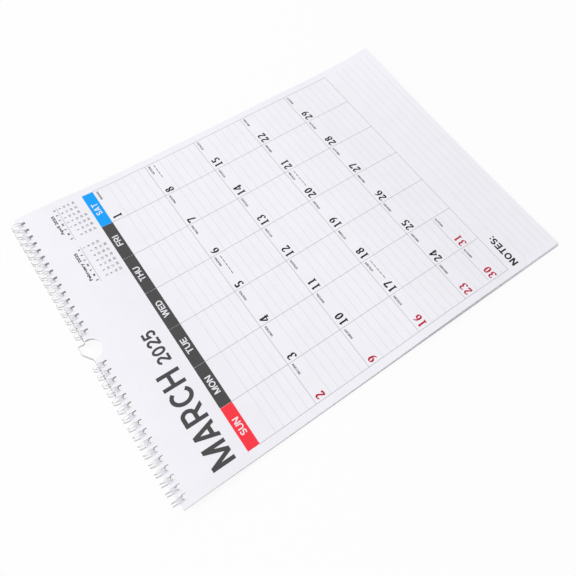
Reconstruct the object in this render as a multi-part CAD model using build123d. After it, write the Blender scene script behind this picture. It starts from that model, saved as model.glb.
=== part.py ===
from build123d import *
import os
from math import cos, floor, pi, radians, sin, sqrt

# A wire-bound wall calendar lying on its back. X runs across the sheet from the Sunday side,
# +Y points to the binding and +Z away from the table. The origin is the centre of its footprint.

# Sheets and backing board, in millimetres
sheet_width = 304.8
sheet_height = 419.1
sheets_thick = 2.3
board_thick = 0.9
stack_gap = 0.1

# Binding wire: twin loops on a three-to-the-inch pitch, none beside the thumb cut
hole_pitch = 25.4 / 3
loops_per_side = 16
first_loop = 2
wire_dia = 1.0
loop_radius = 5.0
loop_offset = 0.8
finger_spacing = 2.6
seam_angle = -60.0
seam_half_gap = 20.6
bridge_bend = 1.0

# Holes and thumb cut
hole_size = 4.0
hole_margin = 3.2
thumb_radius = 9.8
thumb_inset = 0.9

# Hanger: a bent wire whose arms lie inside the loops
hanger_dia = 1.5
hanger_arm = 47.0
hanger_base = 8.2
hanger_top = 3.9
hanger_rise = 11.5
hanger_tilt = 62.0
hanger_shift = 1.0
hanger_axis_out = 1.0
hanger_play = 0.05
base_bend = 2.0
top_bend = 3.0

# How the stack lies: level at the wire, down to the table, then the fanned sheets' gentle wave
level_length = 12.0
slope_length = 98.0
hump_from_far = 140.0
hump_rise = 2.2
dip_from_far = 45.0
dip_rise = 0.9
far_rise = 2.2
least_step = 8.0

# Printed page, measured from the Sunday edge and from the binding edge
side_margin = 8.05
grid_top = 74.2
band_height = 11.1
foot_room = 63.4
columns = 7
rows = 5
rule_step = 8.15
rule_room = 12.0
rules_per_share = 3
grid_line = 0.4
rule_line = 0.25
ink_thick = 0.15
ink_lift = 0.02
first_weekday = 6
days = 31
date_height = 8.1
date_pen = 1.4
date_left = 2.3
date_drop = 2.9
date_room = 15.0
title_left = 9.8
title_base = 53.0
title_height = 20.6
title_pen = 4.5
year_left = 107.7
year_height = 12.1
year_pen = 2.6
name_height = 5.6
name_pen = 1.15
notes_height = 7.2
notes_pen = 1.5
notes_drop = 15.0
note_rules = 6
heading_room = 38.0
table_top = 27.8
table_width = 42.0
table_spread = 51.5
table_step = 4.5
table_drop = 2.2
other_months = ((6, 28), (2, 30))
mark_height = 1.6
mark_width = 11.3
mark_drop = 2.6
text_width = 21.0
text_drop = 8.0
text_days = (5, 8, 17, 20)

SHORT_NAMES = ("SUN", "MON", "TUE", "WED", "THU", "FRI", "SAT")

# Typeface: widths of the signs as shares of their height, and the gap between them in pens
digit_share = 0.62
letter_share = 0.74
own_shares = {"1": 0.42, "M": 0.88, "W": 1.1, "A": 0.88, "C": 0.8}
sign_gap = 0.55
foot_share = 0.26
bar_share = 0.6

# Derived places
wire_radius = wire_dia / 2
hanger_radius = hanger_dia / 2
axis_z = loop_radius + wire_radius
stack_thick = sheets_thick + stack_gap + board_thick
board_under = axis_z - stack_thick / 2
sheets_under = board_thick + stack_gap
inner_reach = loop_radius - wire_radius - hanger_radius - hanger_play
arm_z = axis_z - sqrt(inner_reach ** 2 - hanger_axis_out ** 2)
hanger_reach = (loop_offset + hanger_axis_out + hanger_rise * cos(radians(hanger_tilt))
                + hanger_radius)
loop_reach = loop_offset + loop_radius + wire_radius
binding_y = (sheet_height - max(hanger_reach, loop_reach)) / 2
axis_y = binding_y + loop_offset
arm_y = axis_y + hanger_axis_out
far_y = binding_y - sheet_height
slope_end_y = binding_y - level_length - slope_length
grid_left = side_margin
column_pitch = (sheet_width - 2 * side_margin) / columns
row_pitch = (sheet_height - grid_top - foot_room) / rows
rules_per_row = floor((row_pitch - rule_room) / rule_step)
loop_places = [(first_loop + i) * hole_pitch for i in range(loops_per_side)]
shared_drop = row_pitch - rules_per_share * rule_step


def slope_curve(lift):
    """The line from the binding edge down to the table, raised by lift, in the YZ plane."""
    start = (binding_y, board_under + lift)
    level_end = (binding_y - level_length, board_under + lift)
    middle = (binding_y - level_length - slope_length / 2, board_under / 2 + lift)
    end = (slope_end_y, lift)
    level = Line(start, level_end)
    upper = TangentArc(level_end, middle, tangent=(-1, 0))
    lower = TangentArc(middle, end, tangent=upper % 1)
    return [level, upper, lower]


def flat_curve(lift):
    return slope_curve(lift) + [Line((slope_end_y, lift), (far_y, lift))]


def wave_curve(lift):
    """As flat_curve, but with the wave that the loose sheets take towards their far edge."""
    hump_y = min(far_y + hump_from_far, slope_end_y - least_step)
    dip_y = min(far_y + dip_from_far, hump_y - least_step)
    wave = Spline((slope_end_y, lift), (hump_y, lift + hump_rise), (dip_y, lift + dip_rise),
                  (far_y, lift + far_rise), tangents=((-1, 0), (-1, far_rise / dip_from_far)))
    return slope_curve(lift) + [wave]


def slab(lower, upper):
    """The solid as wide as the sheet between two lines of the YZ plane."""
    ends = [Line(lower[0] @ 0, upper[0] @ 0), Line(lower[-1] @ 1, upper[-1] @ 1)]
    outline = Plane.YZ * make_face(lower + upper + ends)
    return extrude(outline, amount=sheet_width / 2, both=True)


def bound_edge(stack):
    """Cuts the wire's holes and the thumb cut through one layer of the stack."""
    tall = 4 * axis_z
    hole_y = binding_y - hole_margin - hole_size / 2
    cutters = [Pos(side * place, hole_y, 0) * Box(hole_size, hole_size, tall)
               for side in (-1, 1) for place in loop_places]
    cutters.append(Pos(0, binding_y - thumb_inset, 0) * Cylinder(thumb_radius, tall))
    return stack - cutters


def loop_point(x, angle, along=0.0):
    """A point of the loop at an angle from the sheet's side, moved along the tangent there."""
    a = radians(angle)
    y = axis_y - loop_radius * cos(a) + along * sin(a)
    z = axis_z + loop_radius * sin(a) + along * cos(a)
    return Vector(x, y, z)


def binding_wire(side):
    """One wire bent into twin loops: fingers joined by tips, and bridges from loop to loop."""
    root = seam_angle + seam_half_gap
    tip = seam_angle - seam_half_gap + 360
    top = (root + tip) / 2
    half = finger_spacing / 2
    diagonal = bridge_bend * sqrt(0.5)
    path = []
    for number, place in enumerate(sorted(side * place for place in loop_places)):
        left, right = place - half, place + half
        path.append(ThreePointArc(loop_point(left, root), loop_point(left, top), loop_point(left, tip)))
        path.append(ThreePointArc(loop_point(left, tip), loop_point(place, tip, half),
                                  loop_point(right, tip)))
        path.append(ThreePointArc(loop_point(right, tip), loop_point(right, top),
                                  loop_point(right, root)))
        if number < loops_per_side - 1:
            after = place + hole_pitch - half
            out, back = right + bridge_bend, after - bridge_bend
            path.append(ThreePointArc(loop_point(right, root),
                                      loop_point(out - diagonal, root, -diagonal),
                                      loop_point(out, root, -bridge_bend)))
            path.append(Line(loop_point(out, root, -bridge_bend), loop_point(back, root, -bridge_bend)))
            path.append(ThreePointArc(loop_point(back, root, -bridge_bend),
                                      loop_point(back + diagonal, root, -diagonal),
                                      loop_point(after, root)))
    wire = Wire(path)
    section = Plane(origin=wire @ 0, z_dir=wire % 0) * Circle(wire_radius)
    return sweep(section, path=wire), wire


def hanger():
    """The hanger wire: two arms along the loops and a raised eye between them."""
    eye = Plane(origin=(hanger_shift, arm_y, arm_z), x_dir=(1, 0, 0),
                z_dir=(0, -sin(radians(hanger_tilt)), cos(radians(hanger_tilt))))
    corners = [(-hanger_arm, 0), (-hanger_base, 0), (-hanger_top, hanger_rise),
               (hanger_top, hanger_rise), (hanger_base, 0), (hanger_arm, 0)]
    path = FilletPolyline(*corners, radius=[base_bend, top_bend, top_bend, base_bend])
    wire = eye * path
    section = Plane(origin=wire @ 0, z_dir=wire % 0) * Circle(hanger_radius)
    return sweep(section, path=wire)


def bow(cx, cy, rx, ry, start, end):
    """Corner points of a chamfered arc, one each 45 degrees."""
    steps = max(1, round(abs(end - start) / 45))
    angles = [radians(start + (end - start) * i / steps) for i in range(steps + 1)]
    return [(cx + rx * cos(a), cy + ry * sin(a)) for a in angles]


def strokes(sign, height, pen):
    """The pen's lines for one sign, as its width and a list of (points, closed)."""
    low, high, left = pen / 2, height - pen / 2, pen / 2
    share = own_shares.get(sign, digit_share if sign.isdigit() else letter_share)
    wide = pen if sign in "I:" else share * height
    right = wide - pen / 2
    mid_x, mid_y = wide / 2, height / 2
    rx, full = (right - left) / 2, (high - low) / 2
    half = full / 2
    ring = bow(mid_x, mid_y, rx, full, 90, 450)[:-1]
    upper = bow(mid_x, high - half, rx, half, 90, 450)[:-1]
    lower = bow(mid_x, low + half, rx, half, 90, 450)[:-1]
    stem = ([(left, low), (left, high)], False)
    post = ([(right, low), (right, high)], False)
    top_bar = ([(left, high), (right, high)], False)
    middle_bar = ([(left, mid_y), (right - left, mid_y)], False)
    foot = low + foot_share * height
    bar_y, bar_x = mid_y * bar_share, rx * bar_share
    lines = {
        "0": [(ring, True)], "O": [(ring, True)], "8": [(upper, True), (lower, True)],
        "1": [post, ([(right, high), (left, high - foot_share * height)], False)],
        "2": [(bow(mid_x, high - half, rx, half, 180, -45) + [(left, low), (right, low)], False)],
        "3": [(bow(mid_x, high - half, rx, half, 135, -90), False),
              (bow(mid_x, low + half, rx, half, 90, -135), False)],
        "4": [([(right - pen, low), (right - pen, high)], False),
              ([(right - pen, high), (left, foot), (right, foot)], False)],
        "5": [([(right, high), (left, high), (left, mid_y)] + bow(mid_x, low + half, rx, half, 90, -135),
               False)],
        "6": [(lower, True),
              ([(left, low + half), (left, high - half), (mid_x, high), (right, high)], False)],
        "7": [([(left, high), (right, high), (mid_x - pen / 2, low)], False)],
        "9": [(upper, True),
              ([(right, high - half), (right, low + half), (mid_x, low), (left, low)], False)],
        "A": [([(left, low), (mid_x, high), (right, low)], False),
              ([(mid_x - bar_x, bar_y), (mid_x + bar_x, bar_y)], False)],
        "C": [(bow(mid_x, mid_y, rx, full, 45, 315), False)],
        "D": [([(left, low), (left, high), (mid_x, high), (right, high - half), (right, low + half),
                (mid_x, low)], True)],
        "E": [stem, top_bar, middle_bar, ([(left, low), (right, low)], False)],
        "F": [stem, top_bar, middle_bar],
        "H": [stem, post, ([(left, mid_y), (right, mid_y)], False)],
        "I": [stem],
        "M": [stem, post, ([(left, high), (mid_x, low + pen / 2), (right, high)], False)],
        "N": [([(left, low), (left, high), (right, low), (right, high)], False)],
        "R": [stem, ([(left, high), (mid_x, high), (right, high - half), (mid_x, mid_y), (left, mid_y)],
                     False), ([(mid_x, mid_y), (right, low)], False)],
        "S": [(bow(mid_x, high - half, rx, half, 45, 270) + bow(mid_x, low + half, rx, half, 90, -135)[1:],
               False)],
        "T": [([(mid_x, low), (mid_x, high)], False), top_bar],
        "U": [([(left, high), (left, low + half)] + bow(mid_x, low + half, rx, half, 180, 360)[1:]
               + [(right, high)], False)],
        "W": [([(left, high), (left + wide / 4, low), (mid_x, high), (right - wide / 4, low),
                (right, high)], False)],
        ":": [([(left, low), (left, pen)], False), ([(left, mid_y), (left, mid_y + low)], False)],
    }
    return wide, lines[sign]


def offset_side(points, closed, distance):
    """The line moved sideways by distance, with mitred corners."""
    moved = []
    last = len(points) - 1
    for i, (x, y) in enumerate(points):
        before = points[i - 1] if i or closed else None
        after = points[(i + 1) % len(points)] if i < last or closed else None
        normals = []
        for a, b in ((before, (x, y)), ((x, y), after)):
            if a and b:
                length = sqrt((b[0] - a[0]) ** 2 + (b[1] - a[1]) ** 2)
                normals.append(((a[1] - b[1]) / length, (b[0] - a[0]) / length))
        nx = sum(n[0] for n in normals) / len(normals)
        ny = sum(n[1] for n in normals) / len(normals)
        mitre = max(nx * nx + ny * ny, 0.2)
        moved.append((x + distance * nx / mitre, y + distance * ny / mitre))
    return moved


def face_of(points):
    """A flat face facing up, whichever way round its corners run."""
    turn = sum(a[0] * b[1] - b[0] * a[1] for a, b in zip(points, points[1:] + points[:1]))
    return Polygon(*(points if turn > 0 else points[::-1]), align=None)


def pen_line(points, closed, pen):
    """The face that a pen of that width leaves along a line."""
    one = offset_side(points, closed, pen / 2)
    other = offset_side(points, closed, -pen / 2)
    if closed:
        inner, outer = sorted((face_of(one), face_of(other)), key=lambda face: face.area)
        return outer - inner
    for end, beside in ((0, 1), (-1, -2)):
        a, b = points[end], points[beside]
        length = sqrt((a[0] - b[0]) ** 2 + (a[1] - b[1]) ** 2)
        for side in (one, other):
            side[end] = (side[end][0] + (a[0] - b[0]) / length * pen / 2,
                         side[end][1] + (a[1] - b[1]) / length * pen / 2)
    return face_of(one + other[::-1])


SIGNS = {}


def word(text, height, pen, x=0.0, y=0.0, centred=False):
    """A word drawn with a pen, from its lower left corner or its middle."""
    sketch, at = [], 0.0
    for sign in text:
        key = (sign, height, pen)
        wide, lines = strokes(sign, height, pen)
        if key not in SIGNS:
            parts = [pen_line(points, closed, pen) for points, closed in lines]
            SIGNS[key] = parts[0] if len(parts) == 1 else parts[0] + parts[1:]
        sketch.append((SIGNS[key], at))
        at += wide + sign_gap * pen
    shift = -(at - sign_gap * pen) / 2 if centred else 0.0
    return [Pos(x + shift + place, y) * face for face, place in sketch]


def page_rect(left, top, wide, tall):
    """A rectangle of the page, by its corner nearest the Sunday side and the binding."""
    return Pos(left + wide / 2 - sheet_width / 2, binding_y - top - tall / 2) * Rectangle(wide, tall)


def page_word(text, height, pen, left, base, centred=False):
    return word(text, height, pen, left - sheet_width / 2, binding_y - base, centred)


def cell(day):
    """Column and row of a day, and whether it shares the last row's cell below another."""
    place = first_weekday + day - 1
    column, row = place % columns, place // columns
    return (column, row, False) if row < rows else (column, rows - 1, True)


def shared_columns():
    return [cell(day)[0] for day in range(1, days + 1) if cell(day)[2]]


def cell_corner(day):
    column, row, shared = cell(day)
    top = grid_top + row * row_pitch + (shared_drop if shared else 0)
    return grid_left + column * column_pitch, top


def dates(red):
    faces = []
    for day in range(1, days + 1):
        column, _, shared = cell(day)
        if (column == 0 or shared) == red:
            left, top = cell_corner(day)
            faces += page_word(str(day), date_height, date_pen, left + date_left,
                               top + date_drop + date_height)
    return faces


def weekday_band(column):
    """A weekday's printed band, with the name left bare in it."""
    left = grid_left + column * column_pitch
    band = page_rect(left + grid_line / 2, grid_top - band_height, column_pitch - grid_line, band_height)
    base = grid_top - (band_height - name_height) / 2
    name = page_word(SHORT_NAMES[column], name_height, name_pen, left + column_pitch / 2, base, True)
    return band - name


def grid():
    wide, tall = columns * column_pitch, rows * row_pitch
    half = grid_line / 2
    lines = [page_rect(grid_left + i * column_pitch - half, grid_top, grid_line, tall)
             for i in range(columns + 1)]
    lines += [page_rect(grid_left - half, grid_top + i * row_pitch - half, wide + grid_line, grid_line)
              for i in range(1, rows + 1)]
    shared_top = grid_top + (rows - 1) * row_pitch + shared_drop
    lines += [page_rect(grid_left + column * column_pitch, shared_top - half, column_pitch, grid_line)
              for column in shared_columns()]
    return lines[0] + lines[1:]


def rule_start(column, row, drop):
    """Where a writing line starts in its cell: past the date, if it runs beside one."""
    tops = [date_drop]
    if row == rows - 1 and column in shared_columns():
        tops.append(shared_drop + date_drop)
    beside = any(top - rule_line < drop < top + date_height for top in tops)
    return date_room if beside else grid_line


def rules():
    """The faint writing lines of each row and of the notes below the grid."""
    lines = []
    for row in range(rows):
        for number in range(1, rules_per_row + 1):
            drop = row_pitch - number * rule_step
            split = row == rows - 1 and number == rules_per_share
            for column in range(columns):
                if not (split and column in shared_columns()):
                    start = rule_start(column, row, drop)
                    lines.append(page_rect(grid_left + column * column_pitch + start,
                                           grid_top + row * row_pitch + drop,
                                           column_pitch - start - grid_line, rule_line))
    wide, foot = columns * column_pitch, grid_top + rows * row_pitch + notes_drop
    lines.append(page_rect(grid_left + heading_room, foot, wide - heading_room, rule_line))
    for number in range(1, note_rules):
        lines.append(page_rect(grid_left, foot + number * rule_step, wide, rule_line))
    return lines


def small_tables():
    """Marks in place of the small month tables at the upper right, by first weekday and days."""
    step = table_width / columns
    marks = []
    right = grid_left + columns * column_pitch
    for number, (start, count) in enumerate(other_months):
        left = right - table_width - (1 - number) * table_spread
        marks.append(page_rect(left + step, table_top, table_width - 2 * step, 2 * mark_height))
        marks.append(page_rect(left, table_top + 2 * table_step - mark_height, table_width, rule_line))
        for day in range(count):
            column, row = (start + day) % columns, (start + day) // columns
            marks.append(page_rect(left + (column + 1 / 4) * step, table_top + (row + table_drop) * table_step,
                                   step / 2, mark_height))
    return marks


def day_marks():
    """A short grey mark at the upper right of each dated cell."""
    marks = []
    for day in range(1, days + 1):
        left, top = cell_corner(day)
        marks.append(page_rect(left + column_pitch - mark_width - mark_height, top + mark_drop,
                               mark_width, mark_height))
        if day in text_days:
            marks.append(page_rect(left + column_pitch - text_width - mark_height, top + text_drop,
                                   text_width, mark_height))
    return marks


def ink(faces):
    """Printed faces as a thin skin that follows the top sheet."""
    prints = [printed_skin & extrude(face, amount=4 * axis_z, dir=(0, 0, 1)) for face in faces]
    return Compound(children=[solid for print_ in prints for solid in print_.solids()])


board = bound_edge(slab(flat_curve(0), flat_curve(board_thick)))
sheets_top = sheets_under + sheets_thick
sheets = bound_edge(slab(flat_curve(sheets_under), wave_curve(sheets_top)))
printed_skin = slab(wave_curve(sheets_top + ink_lift), wave_curve(sheets_top + ink_lift + ink_thick))
title = page_word("MARCH", title_height, title_pen, title_left, title_base)
title += page_word("2025", year_height, year_pen, year_left, title_base)
notes_base = grid_top + rows * row_pitch + notes_drop
wires = {}
for node, side in (("wire_left", -1), ("wire_right", 1)):
    wires[node], path = binding_wire(side)
    print(node, "volume over section times length",
          round(wires[node].volume / (pi * wire_radius ** 2 * path.length), 3))

nodes = {
    "month_sheets": sheets,
    "back_board": board,
    "hanger": hanger(),
    "print_sunday_band": ink([weekday_band(0)]),
    "print_weekday_bands": ink([weekday_band(column) for column in range(1, columns - 1)]),
    "print_saturday_band": ink([weekday_band(columns - 1)]),
    "print_grid": ink([grid()]),
    "print_rules": ink(rules()),
    "print_title": ink(title),
    "print_dates": ink(dates(False)),
    "print_red_dates": ink(dates(True)),
    "print_notes_heading": ink(page_word("NOTES:", notes_height, notes_pen, grid_left, notes_base)),
    "print_small_months": ink(small_tables()),
    "print_day_marks": ink(day_marks()),
}
nodes.update(wires)

os.makedirs("parts", exist_ok=True)
for name, shape in nodes.items():
    export_step(shape, f"parts/{name}.step")
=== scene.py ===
from collections import namedtuple
from math import cos, exp, pi, radians, sin, sqrt
from random import Random

import bmesh
import bpy
from mathutils import Matrix, Vector

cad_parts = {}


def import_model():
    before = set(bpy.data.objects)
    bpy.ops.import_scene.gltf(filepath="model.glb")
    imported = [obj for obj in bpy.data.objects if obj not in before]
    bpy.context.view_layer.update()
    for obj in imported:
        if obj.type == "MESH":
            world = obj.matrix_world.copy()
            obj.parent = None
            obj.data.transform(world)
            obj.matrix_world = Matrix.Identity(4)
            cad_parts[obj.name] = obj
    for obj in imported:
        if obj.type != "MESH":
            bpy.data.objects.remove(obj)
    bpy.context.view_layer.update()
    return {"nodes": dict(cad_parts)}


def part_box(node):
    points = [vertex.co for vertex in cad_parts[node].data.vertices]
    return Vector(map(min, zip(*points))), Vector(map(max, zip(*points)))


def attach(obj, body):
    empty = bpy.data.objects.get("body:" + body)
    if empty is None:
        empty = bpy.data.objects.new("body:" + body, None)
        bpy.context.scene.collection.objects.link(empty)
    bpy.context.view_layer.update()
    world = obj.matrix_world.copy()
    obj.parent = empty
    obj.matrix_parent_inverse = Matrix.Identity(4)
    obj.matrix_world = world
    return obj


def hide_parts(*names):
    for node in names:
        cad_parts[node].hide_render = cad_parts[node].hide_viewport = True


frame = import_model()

# Page places are millimetres: x from the Sunday edge, t from the binding edge, up from the table.
MM = 0.001
board_low, board_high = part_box("back_board")
PAGE_WIDE = (board_high[0] - board_low[0]) / MM
PAGE_TALL = (board_high[1] - board_low[1]) / MM
BINDING_Y = board_high[1]

# The stack at the wire and on the table
BOARD_THICK = 0.9
BOARD_RAISED = 3.85
LEVEL_LONG = 12.0
SLOPE_LONG = 98.0
STACK_GAP = 0.1
SHEETS_THICK = 2.3

# The wave of the loose sheets: a hump across the page, and a corner that lifts beyond LIFT_START
HUMP_MIDDLE = 283.4
HUMP_LONG = 70.0
HUMP_SUNDAY = 3.72
HUMP_SATURDAY = 1.1
LIFT_START = 323.4
LIFT_LONG = 100.0
LIFT_MOST = 1.2
LIFT_SUNDAY = 0.52
LIFT_SATURDAY = 6.77
LIFT_DIP = 4.46
HOLLOW_DEEP = 0.7

# The leaves: the top one lies square, and the far edges of the others are shifted by chance
LEAVES = 12
LEAF_THICK = 0.11
LEAF_SHIFT = 0.1
FAR_SHIFT = 0.3
SHIFT_SEED = 5
SUNDAY_FAN = 1.6
TOP_STEP = 6.5
UNDER_STEP = 16.0
CRISP_ANGLE = radians(40)

# Holes for the wire, the thumb cut and the strip of leaf that holds them
HOLE_PITCH = 25.4 / 3
HOLE_SIZE = 4.0
HOLE_MARGIN = 3.2
HOLE_NUMBERS = range(2, 18)
THUMB_RADIUS = 9.8
THUMB_INSET = 0.9
THUMB_EDGE = sqrt(THUMB_RADIUS ** 2 - THUMB_INSET ** 2)
THUMB_TURN = 10
THUMB_CRISP = 0.05
STRIP_SPARE = 4.0
STRIP_END = HOLE_MARGIN * 2 + HOLE_SIZE + 2 * THUMB_INSET + STRIP_SPARE

# The month's grid and its writing lines
WEEK = 7
WEEKS = 5
DAYS = 31
FIRST_WEEKDAY = 6
COLUMN = 41.24
ROW = 56.3
GRID_LEFT = 8.5
GRID_RIGHT = GRID_LEFT + WEEK * COLUMN
GRID_TOP = 74.2
GRID_LINE = 0.38
RULE_STEP = 8.15
RULE_LINE = 0.3
ROW_RULES = 5
SPLIT_RULES = 3
SPLIT_DROP = ROW - SPLIT_RULES * RULE_STEP
NOTES_TOP = 371.0
NOTES_RULES = 6
NOTES_ROOM = 46.0

# Weekday bands: each name with its width
WEEKDAYS = (("SUN", 15.4), ("MON", 17.0), ("TUE", 15.1), ("WED", 17.5), ("THU", 15.8),
            ("FRI", 12.1), ("SAT", 14.3))
BAND_TALL = 11.1
BAND_GAP = 0.16
NAME_TALL = 5.8
NAME_RISE = 2.6
NAME_PEN = 0.165

# Day numbers, with pen widths as shares of their height
DATE_TALL = 8.3
DATE_LEFT = 1.9
DATE_DROP = 3.0
DATE_WIDE = 0.75
DATE_ROOM = 15.0
DATE_THICK = 0.215
DATE_THIN = 0.07
NIB_ANGLE = radians(18)

# Day counts, and the number of bars in the place of a day's note
YEAR_DAYS = 365
DAYS_BEFORE = 59
COUNT_TALL = 2.1
COUNT_WIDE = 10.8
COUNT_DROP = 2.6
COUNT_HEAVY = 0.028
NOTE_BARS = {5: 5, 8: 4, 17: 5, 20: 5}
NOTE_DROP = 8.4
NOTE_WORD = 4.6
NOTE_GAP = 1.0
NOTE_TALL = 0.6

# Small months: the heading with its left edge and width, and the table of days
SmallMonth = namedtuple("SmallMonth", "heading heading_left heading_wide left days first_weekday")
SMALL_MONTHS = (SmallMonth("February 2025", 210.0, 32.7, 205.0, 28, 6),
                SmallMonth("April 2025", 266.0, 24.0, 255.5, 30, 2))
SMALL_HEADING_TALL = 3.6
SMALL_HEADING_BASE = 32.6
SMALL_HEADING_HEAVY = 0.035
SMALL_WIDE = 42.0
SMALL_COLUMN = SMALL_WIDE / WEEK
SMALL_ROW = 4.4
SMALL_TALL = 2.2
SMALL_LETTER_BASE = 36.0
SMALL_LETTER_HEAVY = 0.05
SMALL_LINE_TOP = 37.2
SMALL_LINE = 0.2
SMALL_DAY_BASE = 41.0
SMALL_DAY_HEAVY = 0.01

# How printing is drawn: letters and pens are measured in letter heights
PRINT_LIFT = 0.05
NAME_LIFT = 0.1
PATCH_STEP = 5.0
STROKE_STEP = 0.18
BOW_TURN = 15
LETTER_GAP = 0.55
LETTER_FINENESS = 4
MITRE_LEAST = 0.5
STEEP = 0.5
SAME_PLACE = 1e-6
LEFT, MIDDLE, RIGHT = 0.0, 0.5, 1.0

# A mottled ink's lighter tone
INK_GAIN = 1.06
INK_RAISE = 0.004

# The photograph's viewpoint, 0.45 m above the page beside its Sunday edge
VIEW_FROM = (-0.2056, BINDING_Y - 0.0288, 0.4529)
VIEW_RIGHT = (-0.57625, -0.81546, 0.05443)
VIEW_UP = (0.75115, -0.50220, 0.42845)

# Surroundings: the sky's strength, what is added to it for rays that see it, and the white floor
SKY_STRENGTH = 0.58
SKY_SEEN_MORE = 0.42
FLOOR_HALF = 1.6
FLOOR_DROP = 0.0002
FLOOR_GLOW = 0.88


# Places on the page

def smooth_drop(t):
    """1 on the raised stretch at the wire, 0 on the table, and the board's gentle slope between."""
    s = min(max((t - LEVEL_LONG) / SLOPE_LONG, 0.0), 1.0)
    return 1 - 2 * s * s if s < 0.5 else 2 * (1 - s) ** 2


def board_top(t):
    return BOARD_RAISED * smooth_drop(t) + BOARD_THICK


def wave(x, t):
    """How far the loose sheets stand proud of a flat pile: a long hump and a lifted corner."""
    u = x / PAGE_WIDE
    crest = HUMP_SUNDAY * (1 - u) + HUMP_SATURDAY * u
    hump = exp(-(((t - HUMP_MIDDLE) / HUMP_LONG) ** 2)) * crest
    lift = min(max((t - LIFT_START) / LIFT_LONG, 0.0), LIFT_MOST) ** 2
    corner = lift * (LIFT_SUNDAY * (1 - u) ** 2 + LIFT_SATURDAY * u * u - LIFT_DIP * u * (1 - u))
    hollow = HOLLOW_DEEP * u * u * sin(pi * t / PAGE_TALL)
    return hump + corner - hollow


def leaf_height(x, t, leaf=LEAVES - 1):
    """Height of a leaf's upper face above the table, in millimetres."""
    share = (leaf + 1) / LEAVES
    return board_top(t) + STACK_GAP + share * (SHEETS_THICK + wave(x, t))


def place(x, t, up):
    """A page place as a point of the frame, in metres."""
    return Vector((x - PAGE_WIDE / 2, 0, up)) * MM + Vector((0, BINDING_Y - t * MM, 0))


def new_piece(name, mesh, material, body, replaced=()):
    piece = bpy.data.objects.new(name, mesh)
    bpy.context.scene.collection.objects.link(piece)
    mesh.materials.append(material)
    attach(piece, body)
    if replaced:
        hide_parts(*replaced)
    return piece


# Materials

def nodes_of(name):
    material = bpy.data.materials.new(name)
    material.use_nodes = True
    tree = material.node_tree
    return material, tree, tree.nodes["Principled BSDF"]


def noise(tree, scale, detail):
    coordinates = tree.nodes.new("ShaderNodeTexCoord")
    texture = tree.nodes.new("ShaderNodeTexNoise")
    texture.inputs["Scale"].default_value = scale
    texture.inputs["Detail"].default_value = detail
    tree.links.new(coordinates.outputs["Object"], texture.inputs["Vector"])
    return texture.outputs["Fac"]


def mottle(tree, shader, scale, dark, light):
    """Base colour that wanders between two close tones."""
    ramp = tree.nodes.new("ShaderNodeValToRGB")
    ramp.color_ramp.elements[0].position = 0.35
    ramp.color_ramp.elements[0].color = (*dark, 1)
    ramp.color_ramp.elements[1].position = 0.65
    ramp.color_ramp.elements[1].color = (*light, 1)
    tree.links.new(noise(tree, scale, detail=3.0), ramp.inputs["Fac"])
    tree.links.new(ramp.outputs["Color"], shader.inputs["Base Color"])


def grain(tree, shader, scale, depth):
    """Fine bumps, depth metres deep."""
    bump = tree.nodes.new("ShaderNodeBump")
    bump.inputs["Strength"].default_value = 0.5
    bump.inputs["Distance"].default_value = depth
    tree.links.new(noise(tree, scale, detail=6.0), bump.inputs["Height"])
    tree.links.new(bump.outputs["Normal"], shader.inputs["Normal"])


def paper():
    material, tree, shader = nodes_of("page_paper")
    mottle(tree, shader, scale=60.0, dark=(0.885, 0.88, 0.93), light=(0.9, 0.895, 0.95))
    grain(tree, shader, scale=2500.0, depth=0.00002)
    shader.inputs["Roughness"].default_value = 0.55
    return material


def card():
    material, tree, shader = nodes_of("backing_card")
    mottle(tree, shader, scale=700.0, dark=(0.5, 0.48, 0.45), light=(0.66, 0.64, 0.6))
    grain(tree, shader, scale=1500.0, depth=0.00006)
    shader.inputs["Roughness"].default_value = 0.9
    return material


def ink(name, colour):
    material, tree, shader = nodes_of(name)
    lighter = tuple(min(1.0, part * INK_GAIN + INK_RAISE) for part in colour)
    mottle(tree, shader, scale=900.0, dark=colour, light=lighter)
    grain(tree, shader, scale=2500.0, depth=0.00002)
    shader.inputs["Roughness"].default_value = 0.5
    shader.inputs["Specular IOR Level"].default_value = 0.15
    return material


def coated_wire(name):
    material, tree, shader = nodes_of(name)
    mottle(tree, shader, scale=350.0, dark=(0.88, 0.88, 0.9), light=(0.93, 0.93, 0.95))
    grain(tree, shader, scale=1800.0, depth=0.00003)
    shader.inputs["Roughness"].default_value = 0.38
    shader.inputs["Coat Weight"].default_value = 0.3
    shader.inputs["Coat Roughness"].default_value = 0.2
    return material


PAPER = paper()
RED = ink("red_ink", (0.97, 0.04, 0.06))
GREY = ink("grey_ink", (0.07, 0.067, 0.07))
BLUE = ink("blue_ink", (0.004, 0.36, 1.0))
LINE = ink("line_ink", (0.4, 0.4, 0.43))
RULE = ink("rule_ink", (0.7, 0.7, 0.75))
DARK = ink("dark_ink", (0.012, 0.012, 0.013))
CRIMSON = ink("crimson_ink", (0.5, 0.01, 0.04))
SMALL = ink("small_ink", (0.07, 0.07, 0.075))


# The sheets

def thumb_depth(x):
    """How far the thumb cut reaches from the binding edge at x."""
    beside = abs(x - PAGE_WIDE / 2)
    if beside >= THUMB_EDGE + SAME_PLACE:
        return 0.0
    return THUMB_INSET + sqrt(THUMB_RADIUS ** 2 - beside ** 2)


def hole_sides():
    """Both sides of each wire hole, from the Sunday edge to the Saturday edge."""
    centre, half = PAGE_WIDE / 2, HOLE_SIZE / 2
    middles = [centre + side * number * HOLE_PITCH for side in (-1, 1) for number in HOLE_NUMBERS]
    return sorted((middle - half, middle + half) for middle in middles)


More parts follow.
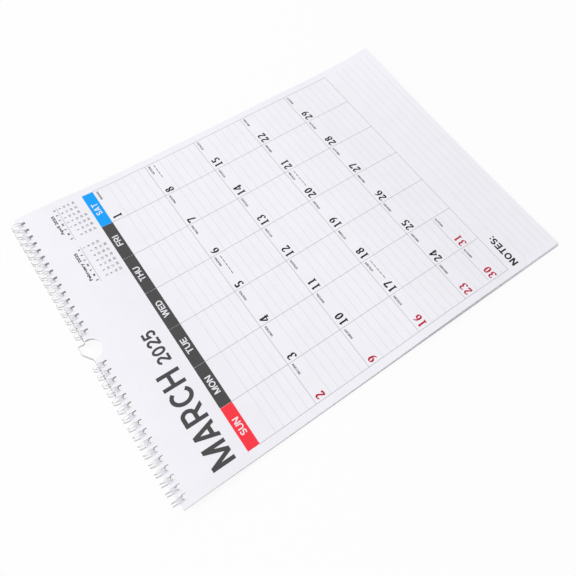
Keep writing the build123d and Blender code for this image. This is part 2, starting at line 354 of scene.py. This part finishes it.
def across_lines():
    """Lines of x on which a leaf has its vertices: hole sides, the thumb cut and both edges."""
    lines = [0.0, PAGE_WIDE]
    for sides in hole_sides():
        lines += sides
    lines += [PAGE_WIDE / 2 + THUMB_EDGE * cos(radians(angle))
              for angle in range(0, 180 + THUMB_TURN, THUMB_TURN)]
    lines += [PAGE_WIDE / 2 + side * (THUMB_EDGE + THUMB_CRISP) for side in (-1, 1)]
    return sorted(lines)


def along_lines(step):
    """Lines of t: both sides of the holes, the strip's end, then even steps to the far edge."""
    lines = [0.0, HOLE_MARGIN, HOLE_MARGIN + HOLE_SIZE, STRIP_END]
    count = round((PAGE_TALL - STRIP_END) / step)
    return lines + [STRIP_END + (PAGE_TALL - STRIP_END) * i / count for i in range(1, count + 1)]


def add_leaf(build, leaf, step, shift):
    """One leaf, its far edge moved by shift. The upper leaves draw in at the Sunday far corner."""
    across, along = across_lines(), along_lines(step)
    fan = SUNDAY_FAN * leaf / (LEAVES - 1)
    holes = hole_sides()
    rows = []
    for t in along:
        row = []
        for x in across:
            depth = thumb_depth(x)
            down = depth + (STRIP_END - depth) * t / STRIP_END if t < STRIP_END else t
            far = down / PAGE_TALL
            inset = fan * far if x == across[0] else 0.0
            row.append(build.verts.new(place(x + inset + shift[0] * far, down + shift[1] * far,
                                             leaf_height(x, down, leaf))))
        rows.append(row)
    for j in range(len(along) - 1):
        for i in range(len(across) - 1):
            middle = (across[i] + across[i + 1]) / 2
            if j == 1 and any(low < middle < high for low, high in holes):
                continue
            build.faces.new((rows[j][i], rows[j + 1][i], rows[j + 1][i + 1], rows[j][i + 1]))


def leaves():
    chance = Random(SHIFT_SEED)
    build = bmesh.new()
    for leaf in range(LEAVES - 1):
        shift = (chance.uniform(-LEAF_SHIFT, LEAF_SHIFT), chance.uniform(-3 * FAR_SHIFT, FAR_SHIFT))
        add_leaf(build, leaf, UNDER_STEP, shift)
    add_leaf(build, LEAVES - 1, TOP_STEP, (0.0, 0.0))
    mesh = bpy.data.meshes.new("month_leaves")
    build.to_mesh(mesh)
    build.free()
    mesh.shade_smooth()
    piece = new_piece("month_leaves", mesh, PAPER, "sheets", ["month_sheets"])
    thick = piece.modifiers.new("paper_thickness", "SOLIDIFY")
    thick.thickness = LEAF_THICK * MM
    thick.offset = -1.0
    crisp = piece.modifiers.new("crisp_rim", "EDGE_SPLIT")
    crisp.split_angle = CRISP_ANGLE


# Printing: flat shapes in page millimetres, as (points, faces), laid on the top leaf

def patch(left, top, wide, tall):
    """A rectangle divided finely enough to follow the leaf."""
    columns, rows = max(1, round(wide / PATCH_STEP)), max(1, round(tall / PATCH_STEP))
    points = [(left + wide * i / columns, top + tall * j / rows)
              for j in range(rows + 1) for i in range(columns + 1)]
    width = columns + 1
    faces = [(j * width + i, (j + 1) * width + i, (j + 1) * width + i + 1, j * width + i + 1)
             for j in range(rows) for i in range(columns)]
    return points, faces


def lettering(text, tall, at, base, heavy, wide=None, anchor=LEFT):
    """Light sans letters that stand on base, fitted to a width if one is given."""
    curve = bpy.data.curves.new("lettering", "FONT")
    curve.body = text
    curve.offset = heavy
    curve.resolution_u = LETTER_FINENESS
    holder = bpy.data.objects.new("lettering", curve)
    bpy.context.scene.collection.objects.link(holder)
    evaluated = holder.evaluated_get(bpy.context.evaluated_depsgraph_get())
    mesh = bpy.data.meshes.new_from_object(evaluated)
    xs = [v.co.x for v in mesh.vertices]
    ys = [v.co.y for v in mesh.vertices]
    scale_y = tall / (max(ys) - min(ys))
    scale_x = wide / (max(xs) - min(xs)) if wide else scale_y
    start = at - (max(xs) - min(xs)) * scale_x * anchor
    points = [(start + (v.co.x - min(xs)) * scale_x, base - (v.co.y - min(ys)) * scale_y)
              for v in mesh.vertices]
    faces = [tuple(face.vertices) for face in mesh.polygons]
    bpy.data.objects.remove(holder)
    bpy.data.curves.remove(curve)
    bpy.data.meshes.remove(mesh)
    return points, faces


def bow(cx, cy, rx, ry, start, end):
    """Points along an ellipse between two angles in degrees."""
    steps = max(2, round(abs(end - start) / BOW_TURN))
    angles = [radians(start + (end - start) * i / steps) for i in range(steps + 1)]
    return [(cx + rx * cos(a), cy + ry * sin(a)) for a in angles]


# Numerals of a broad pen, thick down and thin across, in a box one unit tall
NUMERALS = {
    "0": [bow(0.3, 0.5, 0.2, 0.44, 0, 360)],
    "1": [[(0.3, 0.0), (0.3, 1.0)], [(0.32, 0.95), (0.12, 0.86)], [(0.1, 0.045), (0.5, 0.045)]],
    "2": [bow(0.27, 0.73, 0.19, 0.22, 165, -30) + [(0.1, 0.1)], [(0.06, 0.1), (0.5, 0.1)],
          [(0.06, 0.05), (0.52, 0.05)], [(0.5, 0.24), (0.5, 0.05)]],
    "3": [bow(0.25, 0.74, 0.19, 0.21, 160, -90), bow(0.25, 0.28, 0.22, 0.24, 90, -160)],
    "4": [[(0.45, 0.0), (0.45, 1.0)], [(0.44, 0.99), (0.0, 0.3)], [(0.0, 0.27), (0.63, 0.27)],
          [(0.29, 0.03), (0.61, 0.03)]],
    "5": [[(0.13, 0.94), (0.5, 0.94)], [(0.13, 0.88), (0.5, 0.88)], [(0.12, 0.97), (0.12, 0.52)],
          bow(0.26, 0.29, 0.2, 0.25, 125, -150)],
    "6": [bow(0.3, 0.3, 0.2, 0.25, 0, 360), bow(0.52, 0.35, 0.42, 0.6, 95, 180)],
    "7": [[(0.05, 0.95), (0.53, 0.95)], [(0.05, 0.88), (0.52, 0.88)], [(0.5, 0.93), (0.22, 0.0)],
          [(0.06, 0.97), (0.05, 0.76)]],
    "8": [bow(0.3, 0.75, 0.16, 0.2, 0, 360), bow(0.3, 0.28, 0.2, 0.23, 0, 360)],
    "9": [bow(0.3, 0.7, 0.2, 0.25, 0, 360), bow(0.08, 0.65, 0.42, 0.6, -85, 0)],
}


def letter_lines(sign, s):
    """Width and pen lines of a sans letter one unit tall, drawn with a pen s wide."""
    h = s / 2
    quarter = (1 - s) / 4
    stem = [(h, 0), (h, 1)]
    letters = {
        "A": (0.88, [[(0.13, 0), (0.44, 1)], [(0.75, 0), (0.44, 1)], [(0.26, 0.26), (0.62, 0.26)]]),
        "C": (0.8, [bow(0.42, 0.5, 0.42 - h, 0.5 - h, 42, 318)]),
        "D": (0.76, [stem, [(h, 1 - h), (0.34, 1 - h)]
                     + bow(0.34, 0.5, 0.42 - h, 0.5 - h, 90, -90)[1:] + [(h, h)]]),
        "E": (0.62, [stem, [(h, 1 - h), (0.62, 1 - h)], [(h, 0.5), (0.57, 0.5)],
                     [(h, h), (0.62, h)]]),
        "F": (0.6, [stem, [(h, 1 - h), (0.6, 1 - h)], [(h, 0.48), (0.55, 0.48)]]),
        "H": (0.76, [stem, [(0.76 - h, 0), (0.76 - h, 1)], [(h, 0.52), (0.76 - h, 0.52)]]),
        "I": (s, [stem]),
        "M": (0.96, [stem, [(0.96 - h, 0), (0.96 - h, 1)], [(h, 1), (0.48, 0)],
                     [(0.96 - h, 1), (0.48, 0)]]),
        "N": (0.78, [stem, [(0.78 - h, 0), (0.78 - h, 1)], [(h, 1), (0.78 - h, 0)]]),
        "O": (0.84, [bow(0.42, 0.5, 0.42 - h, 0.5 - h, 0, 360)]),
        "R": (0.78, [stem, [(h, 1 - h), (0.42, 1 - h)]
                     + bow(0.42, 0.71 - h / 2, 0.3 - h, 0.29 - h / 2, 90, -90)[1:] + [(h, 0.42)],
                     [(0.4, 0.42), (0.66, 0)]]),
        "S": (0.68, [bow(0.34, 1 - h - quarter, 0.33 - h, quarter, 30, 270)
                     + bow(0.34, h + quarter, 0.34 - h, quarter, 90, -150)[1:]]),
        "T": (0.68, [[(0, 1 - h), (0.68, 1 - h)], [(0.34, 0), (0.34, 1)]]),
        "U": (0.76, [[(h, 1), (h, 0.38)] + bow(0.38, 0.38, 0.38 - h, 0.38 - h, 180, 360)[1:]
                     + [(0.76 - h, 1)]]),
        "W": (1.14, [[(h, 1), (0.31, 0)], [(0.57, 1), (0.31, 0)], [(0.57, 1), (0.83, 0)],
                     [(1.14 - h, 1), (0.83, 0)]]),
        "0": (0.64, [bow(0.32, 0.5, 0.32 - h, 0.5 - h, 0, 360)]),
        "2": (0.62, [bow(0.31, 0.69, 0.3 - h, 0.31 - h, 170, -38) + [(h, h)],
                     [(h * 0.6, h), (0.62, h)]]),
        "5": (0.62, [[(0.58, 1 - h), (0.14, 1 - h), (0.1, 0.5)]
                     + bow(0.31, 0.34, 0.31 - h, 0.34 - h, 125, -145)]),
        ":": (s, [[(h, 0), (h, s)], [(h, 0.5), (h, 0.5 + s)]]),
    }
    return letters[sign]


def pen_stroke(line, thick, thin):
    """Both sides of a stroke, as far apart as the pen is wide there.

    A steep stroke that ends on the top or the base line is cut level there.
    """
    closed = (Vector(line[0]) - Vector(line[-1])).length < SAME_PLACE
    last = len(line) - 1
    points = []
    for i, (x, y) in enumerate(line):
        before = Vector(line[i - 1] if i else line[-2] if closed else line[0])
        after = Vector(line[i + 1] if i < last else line[1] if closed else line[-1])
        here = Vector((x, y))
        into = (here - before).normalized() if i or closed else (after - here).normalized()
        out = (after - here).normalized() if i < last or closed else into
        along = (into + out).normalized()
        slope = abs(along.y * cos(NIB_ANGLE) - along.x * sin(NIB_ANGLE))
        half = (thin + (thick - thin) * slope) / 2 / max(along.dot(into), MITRE_LEAST)
        side = Vector((-along.y, along.x)) * half
        if i in (0, last) and not closed and y in (0, 1) and abs(along.y) > STEEP:
            side = Vector((-half / along.y, 0))
        points += [tuple(here + side), tuple(here - side)]
    faces = [(2 * i, 2 * i + 1, 2 * i + 3, 2 * i + 2) for i in range(last)]
    return points, faces


def finely(line):
    """The same stroke with points close enough to follow the leaf."""
    points = [line[0]]
    for a, b in zip(line, line[1:]):
        count = max(1, round((Vector(b) - Vector(a)).length / STROKE_STEP))
        points += [tuple(Vector(a).lerp(Vector(b), i / count)) for i in range(1, count)] + [b]
    return points


def sans(text, tall, at, base, wide, pen, anchor=LEFT):
    """Bold sans letters drawn with an even pen and fitted to a width."""
    gap = pen * LETTER_GAP
    lines, end = [], 0.0
    for sign in text:
        width, strokes = letter_lines(sign, pen)
        lines += [[(end + x, y) for x, y in line] for line in strokes]
        end += width + gap
    across = wide / (end - gap)
    start = at - wide * anchor
    shapes = []
    for line in lines:
        points, faces = pen_stroke(finely(line), pen, pen)
        shapes.append(([(start + x * across, base - y * tall) for x, y in points], faces))
    return shapes


def numeral(text, left, top):
    shapes = []
    for position, sign in enumerate(text):
        start = left + position * DATE_WIDE * DATE_TALL
        for line in NUMERALS[sign]:
            points, faces = pen_stroke(line, DATE_THICK, DATE_THIN)
            shapes.append(([(start + x * DATE_TALL, top + (1 - y) * DATE_TALL) for x, y in points],
                           faces))
    return shapes


def printed(name, shapes, material, replaced=(), lift=PRINT_LIFT):
    """Shapes in page millimetres made into one piece that lies on the top leaf."""
    points, faces = [], []
    for shape_points, shape_faces in shapes:
        start = len(points)
        points += [place(x, t, leaf_height(x, t) + lift) for x, t in shape_points]
        faces += [tuple(start + i for i in face) for face in shape_faces]
    mesh = bpy.data.meshes.new(name)
    mesh.from_pydata(points, [], faces)
    mesh.validate()
    build = bmesh.new()
    build.from_mesh(mesh)
    down = [face for face in build.faces if face.normal.z < 0]
    bmesh.ops.reverse_faces(build, faces=down)
    build.to_mesh(mesh)
    build.free()
    new_piece(name, mesh, material, "sheets", replaced)


Cell = namedtuple("Cell", "day column left top shared")


def cell_of(day):
    """A day's column and upper left corner. Days past the last row share the cells above them."""
    row, column = divmod(FIRST_WEEKDAY + day - 1, WEEK)
    shared = row >= WEEKS
    top = GRID_TOP + min(row, WEEKS - 1) * ROW + (SPLIT_DROP if shared else 0)
    return Cell(day, column, GRID_LEFT + column * COLUMN, top, shared)


CELLS = [cell_of(day) for day in range(1, DAYS + 1)]


def bands():
    fields = [patch(GRID_LEFT + column * COLUMN + BAND_GAP / 2, GRID_TOP - BAND_TALL,
                    COLUMN - BAND_GAP, BAND_TALL) for column in range(WEEK)]
    printed("sunday_band", fields[:1], RED, ["print_sunday_band"])
    printed("weekday_bands", fields[1:-1], GREY, ["print_weekday_bands"])
    printed("saturday_band", fields[-1:], BLUE, ["print_saturday_band"])
    words = []
    for column, (name, wide) in enumerate(WEEKDAYS):
        words += sans(name, NAME_TALL, GRID_LEFT + (column + 0.5) * COLUMN, GRID_TOP - NAME_RISE,
                      wide, NAME_PEN, MIDDLE)
    printed("weekday_names", words, PAPER, lift=NAME_LIFT)


def grid():
    half = GRID_LINE / 2
    lines = [patch(GRID_LEFT + column * COLUMN - half, GRID_TOP, GRID_LINE, WEEKS * ROW)
             for column in range(WEEK + 1)]
    lines += [patch(GRID_LEFT, GRID_TOP + row * ROW - half, WEEK * COLUMN, GRID_LINE)
              for row in range(1, WEEKS + 1)]
    lines += [patch(cell.left + DATE_LEFT, cell.top - half, COLUMN - 2 * DATE_LEFT, GRID_LINE)
              for cell in CELLS if cell.shared]
    printed("month_grid", lines, LINE, ["print_grid"])


def rules():
    """Writing lines, counted from each row's foot. They make room for the dates in shared cells."""
    shared = [cell for cell in CELLS if cell.shared]
    lines = []
    for row in range(WEEKS):
        for number in range(1, ROW_RULES + 1):
            top = GRID_TOP + (row + 1) * ROW - number * RULE_STEP
            left = GRID_LEFT
            if row == WEEKS - 1 and number in (SPLIT_RULES - 1, SPLIT_RULES):
                left += len(shared) * COLUMN
                if number < SPLIT_RULES:
                    lines += [patch(cell.left + DATE_ROOM, top, COLUMN - DATE_ROOM, RULE_LINE)
                              for cell in shared]
            lines.append(patch(left, top, GRID_RIGHT - left, RULE_LINE))
    for number in range(NOTES_RULES):
        left = NOTES_ROOM if number == 0 else GRID_LEFT
        lines.append(patch(left, NOTES_TOP + number * RULE_STEP, GRID_RIGHT - left, RULE_LINE))
    printed("writing_lines", lines, RULE, ["print_rules"])


def headings():
    words = sans("MARCH", tall=20.6, at=10.0, base=53.0, wide=90.0, pen=0.175)
    words += sans("2025", tall=12.1, at=107.6, base=52.6, wide=33.1, pen=0.18)
    printed("month_title", words, GREY, ["print_title"])
    words = sans("NOTES:", tall=7.7, at=8.3, base=370.2, wide=35.0, pen=0.2)
    printed("notes_heading", words, DARK, ["print_notes_heading"])


def dates():
    dark, red = [], []
    for cell in CELLS:
        chosen = red if cell.column == 0 or cell.shared else dark
        chosen += numeral(str(cell.day), cell.left + DATE_LEFT, cell.top + DATE_DROP)
    printed("day_numbers", dark, DARK, ["print_dates"])
    printed("red_day_numbers", red, CRIMSON, ["print_red_dates"])


def day_counts():
    """Days gone and days left in each cell's corner, and plain bars where a note stands."""
    shapes = []
    for cell in CELLS:
        edge = cell.left + COLUMN - DATE_LEFT
        count = DAYS_BEFORE + cell.day
        shapes.append(lettering(f"{count:03d}/{YEAR_DAYS - count:03d}", COUNT_TALL, edge,
                                cell.top + COUNT_DROP + COUNT_TALL, COUNT_HEAVY, COUNT_WIDE, RIGHT))
        shapes += [patch(edge - (bar + 1) * NOTE_WORD, cell.top + NOTE_DROP,
                         NOTE_WORD - NOTE_GAP, NOTE_TALL)
                   for bar in range(NOTE_BARS.get(cell.day, 0))]
    printed("day_counts", shapes, SMALL, ["print_day_marks"])


def small_months():
    """The months before and after this one, as small tables."""
    shapes = []
    for month in SMALL_MONTHS:
        shapes.append(lettering(month.heading, SMALL_HEADING_TALL, month.heading_left,
                                SMALL_HEADING_BASE, SMALL_HEADING_HEAVY, month.heading_wide))
        shapes.append(patch(month.left, SMALL_LINE_TOP, SMALL_WIDE, SMALL_LINE))
        middles = [month.left + (column + 0.5) * SMALL_COLUMN for column in range(WEEK)]
        for middle, (name, _) in zip(middles, WEEKDAYS):
            shapes.append(lettering(name[0], SMALL_TALL, middle, SMALL_LETTER_BASE,
                                    SMALL_LETTER_HEAVY, anchor=MIDDLE))
        for day in range(1, month.days + 1):
            row, column = divmod(month.first_weekday + day - 1, WEEK)
            shapes.append(lettering(str(day), SMALL_TALL, middles[column],
                                    SMALL_DAY_BASE + row * SMALL_ROW, SMALL_DAY_HEAVY,
                                    anchor=MIDDLE))
    printed("small_months", shapes, SMALL, ["print_small_months"])


# Carried-over pieces

def dress(node, material):
    slots = frame["nodes"][node].data.materials
    slots.clear()
    slots.append(material)


# Camera, light and floor

def camera():
    data = bpy.data.cameras.new("camera")
    data.lens = 34.4
    data.sensor_width = 36.0
    data.clip_start = 0.01
    data.shift_x = -0.0012
    data.shift_y = 0.0017
    view = bpy.data.objects.new("camera", data)
    right, up = Vector(VIEW_RIGHT), Vector(VIEW_UP)
    turn = Matrix((right, up, right.cross(up))).transposed().to_4x4()
    view.matrix_world = Matrix.Translation(VIEW_FROM) @ turn
    bpy.context.scene.collection.objects.link(view)
    bpy.context.scene.camera = view


def area_light(name, where, size, power):
    """A round light that faces the frame's origin."""
    data = bpy.data.lights.new(name, "AREA")
    data.shape = "DISK"
    data.size = size
    data.energy = power
    light = bpy.data.objects.new(name, data)
    light.location = where
    light.rotation_euler = (-Vector(where)).to_track_quat("-Z", "Y").to_euler()
    bpy.context.scene.collection.objects.link(light)


def seen_rays(tree):
    """1 for rays that come from the camera, a reflection or a transmission."""
    path = tree.nodes.new("ShaderNodeLightPath")
    total = path.outputs["Is Camera Ray"]
    for name in ("Is Glossy Ray", "Is Transmission Ray"):
        add = tree.nodes.new("ShaderNodeMath")
        add.operation = "MAXIMUM"
        tree.links.new(total, add.inputs[0])
        tree.links.new(path.outputs[name], add.inputs[1])
        total = add.outputs[0]
    return total


def floor():
    """A plain white floor that still takes a faint shadow."""
    mesh = bpy.data.meshes.new("floor")
    corners = [(x * FLOOR_HALF, y * FLOOR_HALF, -FLOOR_DROP)
               for x, y in ((-1, -1), (1, -1), (1, 1), (-1, 1))]
    mesh.from_pydata(corners, [], [(0, 1, 2, 3)])
    piece = bpy.data.objects.new("floor", mesh)
    bpy.context.scene.collection.objects.link(piece)
    material, tree, shader = nodes_of("white_floor")
    mottle(tree, shader, scale=3.0, dark=(0.9, 0.9, 0.9), light=(0.91, 0.91, 0.91))
    shader.inputs["Roughness"].default_value = 0.9
    glow = tree.nodes.new("ShaderNodeEmission")
    mix = tree.nodes.new("ShaderNodeMixShader")
    share = tree.nodes.new("ShaderNodeMath")
    share.operation = "MULTIPLY"
    share.inputs[1].default_value = FLOOR_GLOW
    tree.links.new(seen_rays(tree), share.inputs[0])
    tree.links.new(share.outputs[0], mix.inputs["Fac"])
    tree.links.new(shader.outputs["BSDF"], mix.inputs[1])
    tree.links.new(glow.outputs["Emission"], mix.inputs[2])
    tree.links.new(mix.outputs["Shader"], tree.nodes["Material Output"].inputs["Surface"])
    mesh.materials.append(material)


def world():
    """A white sky, brighter to rays that see it than to the surfaces it lights."""
    sky = bpy.data.worlds.new("studio")
    sky.use_nodes = True
    tree = sky.node_tree
    backdrop = tree.nodes["Background"]
    strength = tree.nodes.new("ShaderNodeMath")
    strength.operation = "MULTIPLY_ADD"
    strength.inputs[1].default_value = SKY_SEEN_MORE
    strength.inputs[2].default_value = SKY_STRENGTH
    tree.links.new(seen_rays(tree), strength.inputs[0])
    tree.links.new(strength.outputs[0], backdrop.inputs["Strength"])
    backdrop.inputs["Color"].default_value = (1, 1, 1, 1)
    bpy.context.scene.world = sky


bpy.context.scene.view_settings.view_transform = "Standard"
camera()
world()
floor()
area_light("key_light", where=(0.9, 3.6, 3.2), size=2.6, power=126.0)
area_light("fill_light", where=(0.9, -0.3, 1.4), size=1.2, power=2.5)
leaves()
bands()
grid()
rules()
headings()
dates()
day_counts()
small_months()
dress("back_board", card())
for wire in ("wire_left", "wire_right"):
    dress(wire, coated_wire(wire + "_coat"))
dress("hanger", coated_wire("hanger_coat"))
